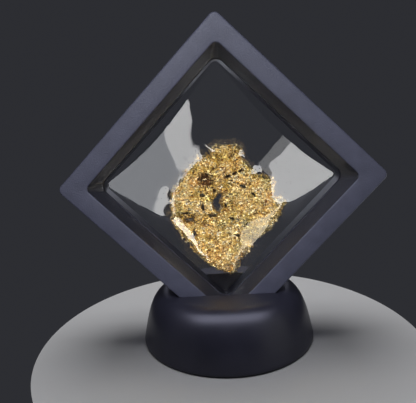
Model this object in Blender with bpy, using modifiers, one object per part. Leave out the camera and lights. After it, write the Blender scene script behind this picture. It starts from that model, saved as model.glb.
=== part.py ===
"""A gold nugget floating between two clear films in a square case, on its round stand.

Run it with: blender --background --python part.py

Lengths are in metres and +Z is up. The case faces -Y and stands on one corner in the
stand's slot. The origin is on the ground, under the middle of the stand.
"""

from math import cos, pi, radians, sin, sqrt

import bmesh
import bpy
import numpy as np
from mathutils import Euler, Matrix, Vector, noise

MM = 0.001

# Gap left between two pieces that touch.
TOUCH_GAP = 0.3 * MM

# Case: two square half frames closed face to face. Its own axes are X and Y along the
# sides and Z towards the viewer, with the middle of the closed case at zero.
CASE_SIDE = 70.0 * MM
CASE_DEPTH = 20.0 * MM
CASE_CORNER_R = 2.0 * MM
CASE_EDGE_R = 0.6 * MM
BEZEL = 6.15 * MM
WINDOW_CORNER_R = 1.8 * MM
WINDOW_EDGE_R = 0.5 * MM
WINDOW_DRAFT = 0.85 * MM            # how much narrower the window is at the film
FILM_CORNER_R = 3.1 * MM

# Films: flat where they are clamped, and raised over the nugget inside the window.
FILM_THICKNESS = 0.3 * MM
FILM_MARGIN = 1.5 * MM              # width held in the frame's rebate
FILM_CELLS = 18
FILM_LEAST_SHARE = 0.08             # a grid point clears the gold that it bears this much on
FILM_SWEEPS = 600                   # rounds of smoothing that pull it tight

# Hinge on the upper left side and nail groove on the lower right side.
HINGE_PLACES = (-19.0 * MM, 19.0 * MM)
HINGE_LENGTH = 9.2 * MM
HINGE_BARREL_R = 1.6 * MM
HINGE_INSET = 0.1 * MM              # barrel's surface below the side's face
HINGE_POCKET_HALF = 2.1 * MM        # half its width across the parting line
HINGE_POCKET_GAP = 0.4 * MM         # below the barrel
KNUCKLE_ROOT = 0.5 * MM             # how far a knuckle runs into its own half
FRONT_KNUCKLE = 3.0 * MM
BACK_KNUCKLE = 2.4 * MM
GROOVE_LENGTH = 14.0 * MM
GROOVE_R = 2.2 * MM
GROOVE_BITE = 0.9 * MM

# Stand: a turned dome, hollow underneath, with a box-shaped pocket for the case.
STAND_R = 27.6 * MM
STAND_FOOT_CHAMFER = 0.6 * MM
STAND_HEIGHT = 16.0 * MM
STAND_CROWN = 0.2 * MM              # fall of the nearly flat top, middle to shoulder
TOP_R = 18.8 * MM                   # where the top ends and the shoulder starts
SHOULDER_PULL = 6.0 * MM            # the shoulder's curve handle, level with the top
SIDE_PULL = (1.6 * MM, 7.9 * MM)    # the side's curve handle, in and up from the foot
STAND_WALL = 2.0 * MM
STAND_TURNS = 48
SLOT_LENGTH = 31.2 * MM
SLOT_WALL = 1.7 * MM
SLOT_FLOOR = 1.2 * MM
SLOT_CORNER_R = 0.7 * MM
POCKET_CORNER_R = 1.4 * MM

# Nugget, in millimetres, seen from the front with the middle of the case at zero.
NUGGET_OUTLINE = (
    (-3.3, 9.9), (-1.5, 11.2), (1.7, 11.5), (2.8, 10.8), (4.4, 11.7), (6.8, 10.0),
    (7.4, 8.3), (6.4, 7.3), (8.3, 5.8), (8.8, 4.4), (10.8, 3.6), (10.9, 2.3),
    (10.0, 0.9), (12.0, 1.3), (15.1, 0.6), (16.8, -0.1), (17.2, -2.2), (17.0, -5.4),
    (20.0, -6.9), (20.0, -9.0), (18.5, -12.2), (15.5, -16.3), (12.6, -18.3),
    (10.1, -19.4), (8.9, -19.6), (9.9, -21.1), (8.6, -22.4), (6.0, -25.2), (4.5, -27.7),
    (3.7, -29.9), (2.4, -30.7), (-0.2, -29.7), (-3.7, -28.4), (-5.8, -27.0),
    (-7.2, -25.0), (-9.9, -22.6), (-10.8, -20.4), (-13.5, -17.4), (-15.8, -14.0),
    (-16.8, -10.1), (-16.6, -6.9), (-16.4, -3.0), (-15.5, -1.3), (-12.8, 0.7),
    (-11.6, 3.4), (-8.6, 6.4), (-6.5, 8.0), (-4.3, 8.7), (-3.0, 7.8),
)
NUGGET_HOLES = (
    ((-1.4, -3.9), (0.3, -3.9), (0.6, -5.4), (-0.6, -6.6), (-0.5, -8.0),
     (-0.9, -9.7), (-2.4, -9.6), (-2.9, -7.6), (-2.2, -6.0), (-1.4, -5.0)),
    ((-4.6, -10.4), (-1.9, -10.5), (-1.8, -11.5), (-4.5, -11.4)),
    ((-12.8, -11.8), (-9.4, -11.5), (-9.2, -12.6), (-12.6, -12.9)),
    ((-9.6, -15.6), (-8.9, -16.4), (-9.6, -18.4), (-10.6, -18.2)),
)
PIT_CENTRE = (-5.1, 0.5)
PIT_R = 1.9
PIT_DEPTH = 3.2
# Ledges: start, end, and the fall in height across the line, to its right.
LEDGES = (
    ((-14.5, -9.6), (0.5, -11.2), 0.7),
    ((1.2, 0.8), (10.2, 4.6), -0.8),
    ((2.5, -18.2), (9.5, -18.6), 0.8),
    ((-1.0, -11.5), (9.0, -17.0), -0.6),
    ((-9.5, 1.6), (-3.2, 8.4), 0.5),
)
LEDGE_SOFTNESS = 0.8
LEDGE_FADE = 2.0                    # length over which its ends fade out
LEDGE_WIDTH = 4.0                   # width over which its step dies away
NUGGET_RIM_HALF = 1.3               # half thickness at the rim
NUGGET_MIDDLE_HALF = 3.6
NUGGET_SHOULDER = 7.0               # how far in from the rim the full thickness starts
HOLE_RIM_SHARE = 0.7                # thickness beside a hole, as a share of the full one
HOLE_SHOULDER = 1.5
NUGGET_CELL = 1.0
NUGGET_CORNER = (-18.0, -32.0)      # low corner of the grid that the nugget is cut from
NUGGET_SPAN = (39.0, 45.0)
EDGE_REACH = 0.45                   # cells that an edge point may move to meet the outline
LUMP_SPACING = 5.0
LUMP_HEIGHT = 0.5
FLAKE_COUNT = 260
FLAKE_SLOPE = 0.3
RIM_WOBBLE = 0.35
RIM_WOBBLE_LENGTH = 1.8
SEED = 11

HALF_SIDE = CASE_SIDE / 2
HALF_DEPTH = CASE_DEPTH / 2
WINDOW_HALF = HALF_SIDE - BEZEL
FILM_WINDOW_HALF = WINDOW_HALF - WINDOW_DRAFT
PARTING = TOUCH_GAP / 2             # each half stops this far from the middle plane
FILM_FACE = PARTING + FILM_THICKNESS
REBATE_FLOOR = FILM_FACE + TOUCH_GAP
FILM_HALF = FILM_WINDOW_HALF + FILM_MARGIN
REBATE_HALF = FILM_HALF + TOUCH_GAP
CORNER_LIFT = CASE_CORNER_R * (sqrt(2) - 1)
CASE_CENTRE_Z = SLOT_FLOOR + TOUCH_GAP + HALF_SIDE * sqrt(2) - CORNER_LIFT
SLOT_WIDTH = CASE_DEPTH + 2 * TOUCH_GAP
HINGE_AXIS = HALF_SIDE - HINGE_BARREL_R - HINGE_INSET
ARC_STEPS = 8


# ---------------------------------------------------------------- scene and materials


def clear_scene():
    for old in list(bpy.data.objects):
        bpy.data.objects.remove(old, do_unlink=True)


def new_collection(name):
    collection = bpy.data.collections.new(name)
    bpy.context.scene.collection.children.link(collection)
    return collection


def new_material(name, colour, roughness, metallic=0.0, transmission=0.0):
    material = bpy.data.materials.new(name)
    material.use_nodes = True
    shader = material.node_tree.nodes["Principled BSDF"]
    shader.inputs["Base Color"].default_value = (*colour, 1.0)
    shader.inputs["Roughness"].default_value = roughness
    shader.inputs["Metallic"].default_value = metallic
    shader.inputs["Transmission Weight"].default_value = transmission
    return material


def new_object(name, mesh, collection, parent=None, local=None, material=None):
    obj = bpy.data.objects.new(name, mesh)
    collection.objects.link(obj)
    obj.parent = parent
    obj.matrix_local = local or Matrix.Identity(4)
    if material:
        mesh.materials.append(material)
    return obj


def new_cutter(name, mesh, parent=None, local=None):
    cutter = new_object(name, mesh, cutters, parent, local)
    cutter.hide_render = True
    cutter.display_type = "WIRE"
    return cutter


def combine(target, other, operation):
    boolean = target.modifiers.new(other.name, "BOOLEAN")
    boolean.operation = operation
    boolean.solver = "EXACT"
    boolean.object = other


def shade(mesh, degrees=30.0):
    mesh.shade_smooth()
    mesh.set_sharp_from_angle(angle=radians(degrees))


# ---------------------------------------------------------------------- mesh helpers


def to_mesh(bm, name):
    bmesh.ops.recalc_face_normals(bm, faces=bm.faces)
    mesh = bpy.data.meshes.new(name)
    bm.to_mesh(mesh)
    bm.free()
    return mesh


def block(name, size, centre, corner_r=0.0, edge_r=0.0):
    """A box whose four edges along Z are rounded by corner_r, and top rim by edge_r."""
    bm = bmesh.new()
    bmesh.ops.create_cube(bm, size=1.0)
    bmesh.ops.scale(bm, vec=size, verts=bm.verts)
    if corner_r:
        uprights = [e for e in bm.edges if abs(e.verts[0].co.z - e.verts[1].co.z) > size[2] / 2]
        bmesh.ops.bevel(
            bm, geom=uprights, offset=corner_r, segments=4, profile=0.5, affect="EDGES"
        )
    if edge_r:
        top = [e for e in bm.edges if min(v.co.z for v in e.verts) > size[2] * 0.49]
        bmesh.ops.bevel(bm, geom=top, offset=edge_r, segments=2, profile=0.5, affect="EDGES")
    bmesh.ops.translate(bm, vec=centre, verts=bm.verts)
    return to_mesh(bm, name)


def rounded_square(half, radius, z, steps=4):
    """Points of a square with rounded corners, anticlockwise from +Z, at height z."""
    points = []
    for corner in range(4):
        turn = corner * pi / 2
        for step in range(steps + 1):
            angle = turn + step / steps * pi / 2
            inner = half - radius
            sign_x, sign_y = cos(turn + pi / 4) * sqrt(2), sin(turn + pi / 4) * sqrt(2)
            x = sign_x * inner + radius * cos(angle)
            y = sign_y * inner + radius * sin(angle)
            points.append(Vector((x, y, z)))
    return points


def loft(name, sections):
    """A closed solid through loops of equally many points, capped at both ends."""
    bm = bmesh.new()
    loops = [[bm.verts.new(point) for point in section] for section in sections]
    for lower, upper in zip(loops, loops[1:]):
        for i, vertex in enumerate(lower):
            j = (i + 1) % len(lower)
            bm.faces.new((vertex, lower[j], upper[j], upper[i]))
    bm.faces.new(loops[0])
    bm.faces.new(loops[-1])
    return to_mesh(bm, name)


def rod(name, radius, length, segments=24):
    """A cylinder along X with its middle at zero."""
    bm = bmesh.new()
    bmesh.ops.create_cone(
        bm, cap_ends=True, segments=segments, radius1=radius, radius2=radius, depth=length
    )
    bmesh.ops.rotate(bm, verts=bm.verts, matrix=Matrix.Rotation(pi / 2, 3, "Y"))
    return to_mesh(bm, name)


def extruded_outline(name, loops, half_depth):
    """A plate with the first loop as its outline and the other loops as holes."""
    curve = bpy.data.curves.new(name, "CURVE")
    curve.dimensions = "2D"
    curve.fill_mode = "BOTH"
    curve.extrude = half_depth
    for loop in loops:
        spline = curve.splines.new("POLY")
        spline.points.add(len(loop) - 1)
        spline.use_cyclic_u = True
        for point, (x, y) in zip(spline.points, loop):
            point.co = (x, y, 0.0, 1.0)
    outline = new_object(name + "_outline", curve, cutters)
    mesh = frozen(outline, name)
    bpy.data.objects.remove(outline)
    bm = bmesh.new()
    bm.from_mesh(mesh)
    bmesh.ops.remove_doubles(bm, verts=bm.verts, dist=0.01 * MM)
    bpy.data.meshes.remove(mesh)
    return to_mesh(bm, name)


def frozen(obj, name):
    """The object's mesh with its modifiers applied."""
    graph = bpy.context.evaluated_depsgraph_get()
    graph.update()
    mesh = bpy.data.meshes.new_from_object(obj.evaluated_get(graph))
    mesh.name = name
    return mesh


def get_points(mesh):
    points = np.empty(len(mesh.vertices) * 3)
    mesh.vertices.foreach_get("co", points)
    return points.reshape(-1, 3)


# ----------------------------------------------------------------------------- stand


def bezier(points, steps):
    """Points along a cubic curve, its two ends included."""
    start, pull, push, end = (np.array(point) for point in points)
    share = np.linspace(0, 1, steps + 1)[:, None]
    rest = 1 - share
    curve = rest**3 * start + 3 * rest**2 * share * pull
    return curve + 3 * rest * share**2 * push + share**3 * end


def stand_profile():
    """Half section of the dome, from the top's middle down the outside and back inside."""
    top = np.array((TOP_R, STAND_HEIGHT - STAND_CROWN))
    foot = np.array((STAND_R, STAND_FOOT_CHAMFER))
    handles = (top, top + (SHOULDER_PULL, 0), foot + (-SIDE_PULL[0], SIDE_PULL[1]), foot)
    outside = bezier(handles, ARC_STEPS)
    inside = outside[::-3] - (STAND_WALL, 0)
    inside[-1] = top - (STAND_WALL / 2, STAND_WALL)
    inside[:-1, 1] *= 1 - STAND_WALL / STAND_HEIGHT
    foot_r = STAND_R - STAND_FOOT_CHAMFER
    points = [(0.0, STAND_HEIGHT), (TOP_R / 2, STAND_HEIGHT - STAND_CROWN / 4)]
    points += [tuple(point) for point in outside]
    points += [(foot_r, 0.0), (foot_r - STAND_WALL, 0.0)]
    points += [tuple(point) for point in inside[1:]]
    return points + [(0.0, top[1] - STAND_WALL)]


def build_stand():
    bm = bmesh.new()
    ring = [bm.verts.new((r, 0.0, z)) for r, z in stand_profile()]
    for a, b in zip(ring, ring[1:]):
        bm.edges.new((a, b))
    mesh = bpy.data.meshes.new("stand")
    bm.to_mesh(mesh)
    bm.free()
    stand = new_object("stand", mesh, parts, material=black_satin)
    turn = stand.modifiers.new("turn", "SCREW")
    turn.steps = turn.render_steps = STAND_TURNS
    turn.use_merge_vertices = True
    turn.merge_threshold = 0.01 * MM
    turn.use_smooth_shade = True

    pocket_size = (SLOT_LENGTH + 2 * SLOT_WALL, SLOT_WIDTH + 2 * SLOT_WALL)
    pocket_top = STAND_HEIGHT - STAND_CROWN - STAND_WALL / 2
    pocket = block(
        "pocket", (*pocket_size, pocket_top), (0, 0, pocket_top / 2), POCKET_CORNER_R
    )
    combine(stand, new_cutter("pocket", pocket), "UNION")

    slot_top = STAND_HEIGHT + 2 * MM
    slot_centre = (0, 0, (slot_top + SLOT_FLOOR) / 2)
    slot = block(
        "slot", (SLOT_LENGTH, SLOT_WIDTH, slot_top - SLOT_FLOOR), slot_centre, SLOT_CORNER_R
    )
    combine(stand, new_cutter("slot", slot), "DIFFERENCE")


# ------------------------------------------------------------------------------ case


def half_frame_mesh():
    """The front half before cutting: a square block with rounded corners and front rim."""
    thickness = HALF_DEPTH - PARTING
    return block(
        "half_frame",
        (CASE_SIDE, CASE_SIDE, thickness),
        (0, 0, PARTING + thickness / 2),
        CASE_CORNER_R,
        CASE_EDGE_R,
    )


def window_mesh():
    """The window: rounded at the bezel, then narrowing slightly down to the film."""
    above = HALF_DEPTH + TOUCH_GAP
    mouth = WINDOW_HALF + WINDOW_EDGE_R
    sections = [rounded_square(mouth, WINDOW_CORNER_R + WINDOW_EDGE_R, above)]
    for step in range(3):
        angle = step / 2 * pi / 2
        out = WINDOW_EDGE_R * (1 - sin(angle))
        z = HALF_DEPTH - WINDOW_EDGE_R * (1 - cos(angle))
        sections.append(rounded_square(WINDOW_HALF + out, WINDOW_CORNER_R + out, z))
    sections.append(rounded_square(FILM_WINDOW_HALF, FILM_CORNER_R, REBATE_FLOOR))
    sections.append(rounded_square(FILM_WINDOW_HALF, FILM_CORNER_R, -TOUCH_GAP))
    return loft("window", sections)


def rebate_mesh():
    """The shallow square recess in the parting face that takes the film's edge."""
    size = 2 * REBATE_HALF
    depth = REBATE_FLOOR + TOUCH_GAP
    return block("rebate", (size, size, depth), (0, 0, depth / 2 - TOUCH_GAP), 0.5 * MM)


def knuckle_mesh(length, towards):
    """A hinge knuckle: a half-round barrel with a straight root into its own half."""
    root = towards * (HINGE_POCKET_HALF + KNUCKLE_ROOT)
    outline = [(HINGE_AXIS - HINGE_BARREL_R, root), (HINGE_AXIS + HINGE_BARREL_R, root)]
    for step in range(ARC_STEPS + 1):
        angle = step / ARC_STEPS * pi
        y = HINGE_AXIS + HINGE_BARREL_R * cos(angle)
        outline.append((y, -towards * HINGE_BARREL_R * sin(angle)))
    return extruded_outline("knuckle", [outline], length / 2)


def add_knuckles(half, case, towards, length, offsets):
    # The outline's X, Y and Z go to the case's Y, Z and X.
    turn = Matrix(((0, 0, 1), (1, 0, 0), (0, 1, 0))).to_4x4()
    for place in HINGE_PLACES:
        for offset in offsets:
            local = Matrix.Translation((place + offset, 0, 0)) @ turn
            mesh = knuckle_mesh(length, towards)
            combine(half, new_cutter("knuckle", mesh, case, local), "UNION")


def build_half_frame(name, case, towards):
    """One half of the case. towards is 1 for the front half and -1 for the back half."""
    local = Matrix.Rotation(0 if towards > 0 else pi, 4, "X")
    half = new_object(name, half_frame_mesh(), parts, case, local, black_matte)
    combine(half, new_cutter(name + "_window", window_mesh(), half), "DIFFERENCE")
    combine(half, new_cutter(name + "_rebate", rebate_mesh(), half), "DIFFERENCE")
    for place in HINGE_PLACES:
        depth = HALF_SIDE - HINGE_AXIS + HINGE_BARREL_R + HINGE_POCKET_GAP
        size = (HINGE_LENGTH, depth + MM, 2 * HINGE_POCKET_HALF)
        centre = (place, HALF_SIDE - depth + size[1] / 2, 0)
        combine(half, new_cutter("hinge_pocket", block("pocket", size, centre), case), "DIFFERENCE")
    if towards > 0:
        add_knuckles(half, case, towards, FRONT_KNUCKLE, (0.0,))
    else:
        reach = FRONT_KNUCKLE / 2 + TOUCH_GAP + BACK_KNUCKLE / 2
        add_knuckles(half, case, towards, BACK_KNUCKLE, (-reach, reach))
    groove_y = -HALF_SIDE - GROOVE_R + GROOVE_BITE
    groove_place = Matrix.Translation((0, groove_y, 0))
    groove = new_cutter("groove", rod("groove", GROOVE_R, GROOVE_LENGTH), case, groove_place)
    combine(half, groove, "DIFFERENCE")
    return half


# ---------------------------------------------------------------------------- nugget


def nearest_on_loops(points, loops):
    """The nearest place on any of the closed loops, for each point."""
    start = np.concatenate([np.array(loop) for loop in loops])
    along = np.concatenate([np.roll(loop, -1, axis=0) for loop in loops]) - start
    away = points[:, None, :] - start
    share = (away * along).sum(axis=2) / (along**2).sum(axis=1)
    places = start + np.clip(share, 0, 1)[:, :, None] * along
    best = np.linalg.norm(points[:, None, :] - places, axis=2).argmin(axis=1)
    return places[np.arange(len(points)), best]


def loop_distance(points, loop):
    return np.linalg.norm(points - nearest_on_loops(points, [loop]), axis=1)


def swell(points):
    """Half thickness, thin at the rim and full in the middle, and sunk beside the holes."""
    share = np.clip(loop_distance(points, NUGGET_OUTLINE) / NUGGET_SHOULDER, 0, 1)
    height = np.sqrt(1 - (1 - share) ** 2)
    height = NUGGET_RIM_HALF + (NUGGET_MIDDLE_HALF - NUGGET_RIM_HALF) * height
    for hole in NUGGET_HOLES:
        away = np.clip(loop_distance(points, hole) / HOLE_SHOULDER, 0, 1)
        height *= HOLE_RIM_SHARE + (1 - HOLE_RIM_SHARE) * away
    return height


def ledges(points):
    """Steps in the surface, each across a short line and fading out at its ends."""
    height = np.zeros(len(points))
    for start, end, fall in LEDGES:
        start, end = np.array(start), np.array(end)
        length = np.linalg.norm(end - start)
        along = (end - start) / length
        across = np.array((along[1], -along[0]))
        side = (points - start) @ across
        reach = (points - start) @ along
        fade = np.clip(np.minimum(reach, length - reach) / LEDGE_FADE + 1, 0, 1)
        step = -np.tanh(side / LEDGE_SOFTNESS) * np.exp(-np.abs(side) / LEDGE_WIDTH)
        height += fall * fade * step
    return height


def flakes(points, seed):
    """Tilted facets, one for each of many scattered centres."""
    random = np.random.default_rng(seed)
    low = np.array(NUGGET_CORNER)
    centres = random.uniform(low, low + NUGGET_SPAN, (FLAKE_COUNT, 2))
    slopes = random.uniform(-FLAKE_SLOPE, FLAKE_SLOPE, (FLAKE_COUNT, 2))
    away = points[:, None, :] - centres
    nearest = (away**2).sum(axis=2).argmin(axis=1)
    rows = np.arange(len(points))
    return (away[rows, nearest] * slopes[nearest]).sum(axis=1)


def pit(points):
    """Depth of the round pit."""
    away = np.linalg.norm(points - np.array(PIT_CENTRE), axis=1)
    return PIT_DEPTH * np.exp(-((away / PIT_R) ** 4))


def lumps(points, seed):
    heights = [
        noise.noise(Vector((x / LUMP_SPACING, y / LUMP_SPACING, seed))) for x, y in points
    ]
    return LUMP_HEIGHT * 2 * np.array(heights)


def inside(points, loop):
    """Which points lie inside a closed loop, by the edges that a level line crosses."""
    x, y = points[..., 0], points[..., 1]
    found = np.zeros(x.shape, bool)
    for (x0, y0), (x1, y1) in zip(loop, loop[1:] + loop[:1]):
        if y0 != y1:
            found ^= ((y0 > y) != (y1 > y)) & (x < x0 + (y - y0) / (y1 - y0) * (x1 - x0))
    return found


def kept_cells(columns, rows):
    """Which cells of the grid hold gold. Cells that would meet at a corner only are joined."""
    across = NUGGET_CORNER[0] + (np.arange(columns) + 0.5) * NUGGET_CELL
    up = NUGGET_CORNER[1] + (np.arange(rows) + 0.5) * NUGGET_CELL
    middles = np.stack(np.meshgrid(across, up, indexing="ij"), axis=-1)
    kept = inside(middles, NUGGET_OUTLINE)
    for hole in NUGGET_HOLES:
        kept &= ~inside(middles, hole)
    for _ in range(3):
        one = kept[:-1, :-1] & kept[1:, 1:] & ~kept[:-1, 1:] & ~kept[1:, :-1]
        other = kept[:-1, 1:] & kept[1:, :-1] & ~kept[:-1, :-1] & ~kept[1:, 1:]
        kept[:-1, 1:] |= one
        kept[:-1, :-1] |= other
    return kept


def nugget_sheet():
    """A flat sheet of square cells in the nugget's outline, with its edge drawn to it."""
    columns, rows = (round(length / NUGGET_CELL) for length in NUGGET_SPAN)
    kept = kept_cells(columns, rows)
    bm = bmesh.new()
    bmesh.ops.create_grid(bm, x_segments=columns, y_segments=rows, size=0.5)
    bmesh.ops.scale(bm, vec=(columns * NUGGET_CELL, rows * NUGGET_CELL, 1), verts=bm.verts)
    middle = np.array(NUGGET_CORNER) + np.array((columns, rows)) * NUGGET_CELL / 2
    bmesh.ops.translate(bm, vec=(*middle, 0), verts=bm.verts)
    empty = []
    for face in bm.faces:
        place = face.calc_center_median()
        column = int((place.x - NUGGET_CORNER[0]) / NUGGET_CELL)
        row = int((place.y - NUGGET_CORNER[1]) / NUGGET_CELL)
        if not kept[column, row]:
            empty.append(face)
    bmesh.ops.delete(bm, geom=empty, context="FACES")

    edge = [vertex for vertex in bm.verts if vertex.is_boundary]
    flat = np.array([vertex.co.xy for vertex in edge])
    target = nearest_on_loops(flat, (NUGGET_OUTLINE, *NUGGET_HOLES))
    reach = NUGGET_CELL * EDGE_REACH
    step = np.clip(target - flat, -reach, reach)
    for vertex, (x, y) in zip(edge, flat + step):
        vertex.co.xy = (x, y)
    return bm


def nugget_mesh():
    """The sheet made solid, with its own relief on the front, the back and round the rim."""
    bm = nugget_sheet()
    back = list(bm.verts)
    extruded = bmesh.ops.extrude_face_region(bm, geom=list(bm.faces))
    front = [item for item in extruded["geom"] if isinstance(item, bmesh.types.BMVert)]
    behind = set(back)
    sides = [e for e in bm.edges if (e.verts[0] in behind) != (e.verts[1] in behind)]
    for vertices, towards, seed in ((front, 1, SEED), (back, -1, SEED + 1)):
        flat = np.array([vertex.co.xy for vertex in vertices])
        height = swell(flat) + flakes(flat, seed) + lumps(flat, seed)
        if towards > 0:
            height += ledges(flat) - pit(flat)
        for vertex, level in zip(vertices, height):
            vertex.co.z = towards * level
    bmesh.ops.subdivide_edges(bm, edges=sides, cuts=1)
    rim = [vertex for vertex in bm.verts if abs(vertex.co.z) < NUGGET_RIM_HALF / 2]
    for vertex in bm.verts:
        wobble = noise.noise_vector(vertex.co / RIM_WOBBLE_LENGTH)
        vertex.co += RIM_WOBBLE * wobble
    for vertex in rim:
        vertex.co.z += RIM_WOBBLE * noise.noise(vertex.co)
    bmesh.ops.triangulate(bm, faces=bm.faces, quad_method="SHORT_EDGE")
    bmesh.ops.scale(bm, vec=(MM, MM, MM), verts=bm.verts)
    return to_mesh(bm, "gold_nugget")


# ----------------------------------------------------------------------------- films


def film_lines():
    """Grid lines across the film: one at each outer edge, the rest inside the window."""
    clamped = FILM_WINDOW_HALF - 0.1 * MM
    return np.concatenate(
        ([-FILM_HALF], np.linspace(-clamped, clamped, FILM_CELLS - 1), [FILM_HALF])
    )


def stretched(obstacle, held):
    """Heights of a film pulled tight over an obstacle, and held at zero at its edge."""
    height = np.where(held, 0.0, obstacle)
    for _ in range(FILM_SWEEPS):
        around = np.zeros_like(height)
        around[1:-1, 1:-1] = (
            height[:-2, 1:-1] + height[2:, 1:-1] + height[1:-1, :-2] + height[1:-1, 2:]
        ) / 4
        height = np.where(held, 0.0, np.maximum(obstacle, around))
    return height


def build_film(name, case, nugget_points, towards):
    """One film. nugget_points are the nugget's vertices in the case's axes."""
    lines = film_lines()
    cell = lines[2] - lines[1]
    across, up = np.meshgrid(lines, lines, indexing="ij")
    obstacle = np.zeros_like(across)
    for i, j in np.ndindex(across.shape):
        apart = np.abs(nugget_points[:, :2] - (across[i, j], up[i, j])) / cell
        share = np.clip(1 - apart, 0, 1).prod(axis=1)
        near = nugget_points[share > FILM_LEAST_SHARE, 2] * towards
        if len(near):
            obstacle[i, j] = max(0.0, near.max() + TOUCH_GAP - PARTING)
    inner = FILM_WINDOW_HALF - FILM_CORNER_R
    beyond = np.hypot(np.maximum(np.abs(across) - inner, 0), np.maximum(np.abs(up) - inner, 0))
    held = beyond > FILM_CORNER_R - 0.2 * MM
    height = PARTING + stretched(obstacle, held)

    bm = bmesh.new()
    bmesh.ops.create_grid(bm, x_segments=FILM_CELLS, y_segments=FILM_CELLS, size=1.0)
    for vertex in bm.verts:
        i = round((vertex.co.x + 1) / 2 * FILM_CELLS)
        j = round((vertex.co.y + 1) / 2 * FILM_CELLS)
        vertex.co = (lines[i], lines[j], towards * height[i, j])
    mesh = to_mesh(bm, name)
    film = new_object(name, mesh, parts, case, material=clear_film)
    shell = film.modifiers.new("thickness", "SOLIDIFY")
    shell.thickness = FILM_THICKNESS
    upward = mesh.polygons[0].normal.z * towards > 0
    shell.offset = 1.0 if upward else -1.0
    return film


# -------------------------------------------------------------------------- assembly

noise.seed_set(SEED)
clear_scene()
parts = new_collection("gold_nugget_display")
cutters = new_collection("cutters")
cutters.hide_render = True

black_matte = new_material("black_matte_plastic", (0.035, 0.036, 0.045), 0.55)
black_satin = new_material("black_satin_plastic", (0.018, 0.018, 0.024), 0.34)
native_gold = new_material("native_gold", (0.80, 0.53, 0.20), 0.28, metallic=1.0)
clear_film = new_material("clear_film", (0.95, 0.96, 0.98), 0.03, transmission=1.0)

build_stand()

stood = Euler((pi / 2, -pi / 4, 0)).to_matrix().to_4x4()
case = new_object("case", None, parts, local=Matrix.Translation((0, 0, CASE_CENTRE_Z)) @ stood)
build_half_frame("front_frame", case, 1)
build_half_frame("back_frame", case, -1)

upright = Matrix.Rotation(-pi / 4, 4, "Z")
nugget = new_object("gold_nugget", nugget_mesh(), parts, case, upright, native_gold)
in_case = get_points(nugget.data) @ np.array(upright.to_3x3()).T
build_film("front_film", case, in_case, 1)
build_film("back_film", case, in_case, -1)

for part in parts.objects:
    if part.type == "MESH" and part.name != "gold_nugget":
        shade(part.data)
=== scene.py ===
"""Looks for the gold nugget between two clear films, in its square case on a round stand.

Lengths are in metres unless a name or comment says millimetres, +Z is up and the case
faces -Y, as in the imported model.
"""

from math import cos, pi, radians, sin, sqrt

import bmesh
import bpy
import numpy as np
from mathutils import Euler, Matrix, Vector, noise


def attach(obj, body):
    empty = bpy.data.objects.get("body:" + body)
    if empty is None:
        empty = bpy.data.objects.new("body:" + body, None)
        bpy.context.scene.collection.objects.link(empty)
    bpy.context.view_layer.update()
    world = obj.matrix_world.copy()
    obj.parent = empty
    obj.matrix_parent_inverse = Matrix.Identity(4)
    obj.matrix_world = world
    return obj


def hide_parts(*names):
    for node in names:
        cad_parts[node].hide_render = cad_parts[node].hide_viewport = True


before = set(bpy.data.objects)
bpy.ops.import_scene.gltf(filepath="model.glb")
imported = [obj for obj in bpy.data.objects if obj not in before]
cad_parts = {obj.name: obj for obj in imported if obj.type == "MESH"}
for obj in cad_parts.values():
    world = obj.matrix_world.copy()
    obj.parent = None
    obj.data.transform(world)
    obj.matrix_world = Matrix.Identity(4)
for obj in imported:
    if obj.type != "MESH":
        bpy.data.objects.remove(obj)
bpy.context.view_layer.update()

MM = 0.001
SEED = 11

# The case and the stand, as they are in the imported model.
CASE_SIDE = 70.0 * MM
CASE_DEPTH = 20.0 * MM
CASE_CORNER_R = 2.0 * MM
CASE_EDGE_R = 0.6 * MM
BEZEL = 6.15 * MM
WINDOW_CORNER_R = 1.8 * MM
WINDOW_EDGE_R = 0.5 * MM
WINDOW_DRAFT = 0.85 * MM
FILM_CORNER_R = 3.1 * MM
PARTING = 0.15 * MM
REBATE_FLOOR = 0.75 * MM
REBATE_HALF = 29.8 * MM
FILM_HALF = 29.5 * MM
HINGE_PLACES = (-19.0 * MM, 19.0 * MM)
HINGE_LENGTH = 9.2 * MM
HINGE_BARREL_R = 1.6 * MM
HINGE_AXIS = 33.3 * MM
HINGE_POCKET_HALF = 2.1 * MM
FRONT_KNUCKLE = 3.0 * MM
BACK_KNUCKLE = 2.4 * MM
KNUCKLE_GAP = 0.3 * MM
GROOVE_LENGTH = 14.0 * MM
GROOVE_R = 2.2 * MM
GROOVE_BITE = 0.9 * MM
STAND_R = 27.6 * MM
STAND_FOOT_CHAMFER = 0.6 * MM
STAND_HEIGHT = 16.0 * MM
STAND_CROWN = 0.2 * MM
TOP_R = 18.8 * MM
SHOULDER_PULL = 6.0 * MM
SIDE_PULL = (1.6 * MM, 7.9 * MM)
STAND_WALL = 2.0 * MM
SLOT_LENGTH = 31.2 * MM
SLOT_WIDTH = 20.6 * MM
SLOT_WALL = 1.7 * MM
SLOT_FLOOR = 1.2 * MM
SLOT_CORNER_R = 0.7 * MM
CASE_CENTRE_Z = 50.169 * MM

HALF_SIDE = CASE_SIDE / 2
HALF_DEPTH = CASE_DEPTH / 2
WINDOW_HALF = HALF_SIDE - BEZEL
FILM_WINDOW_HALF = WINDOW_HALF - WINDOW_DRAFT

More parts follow.
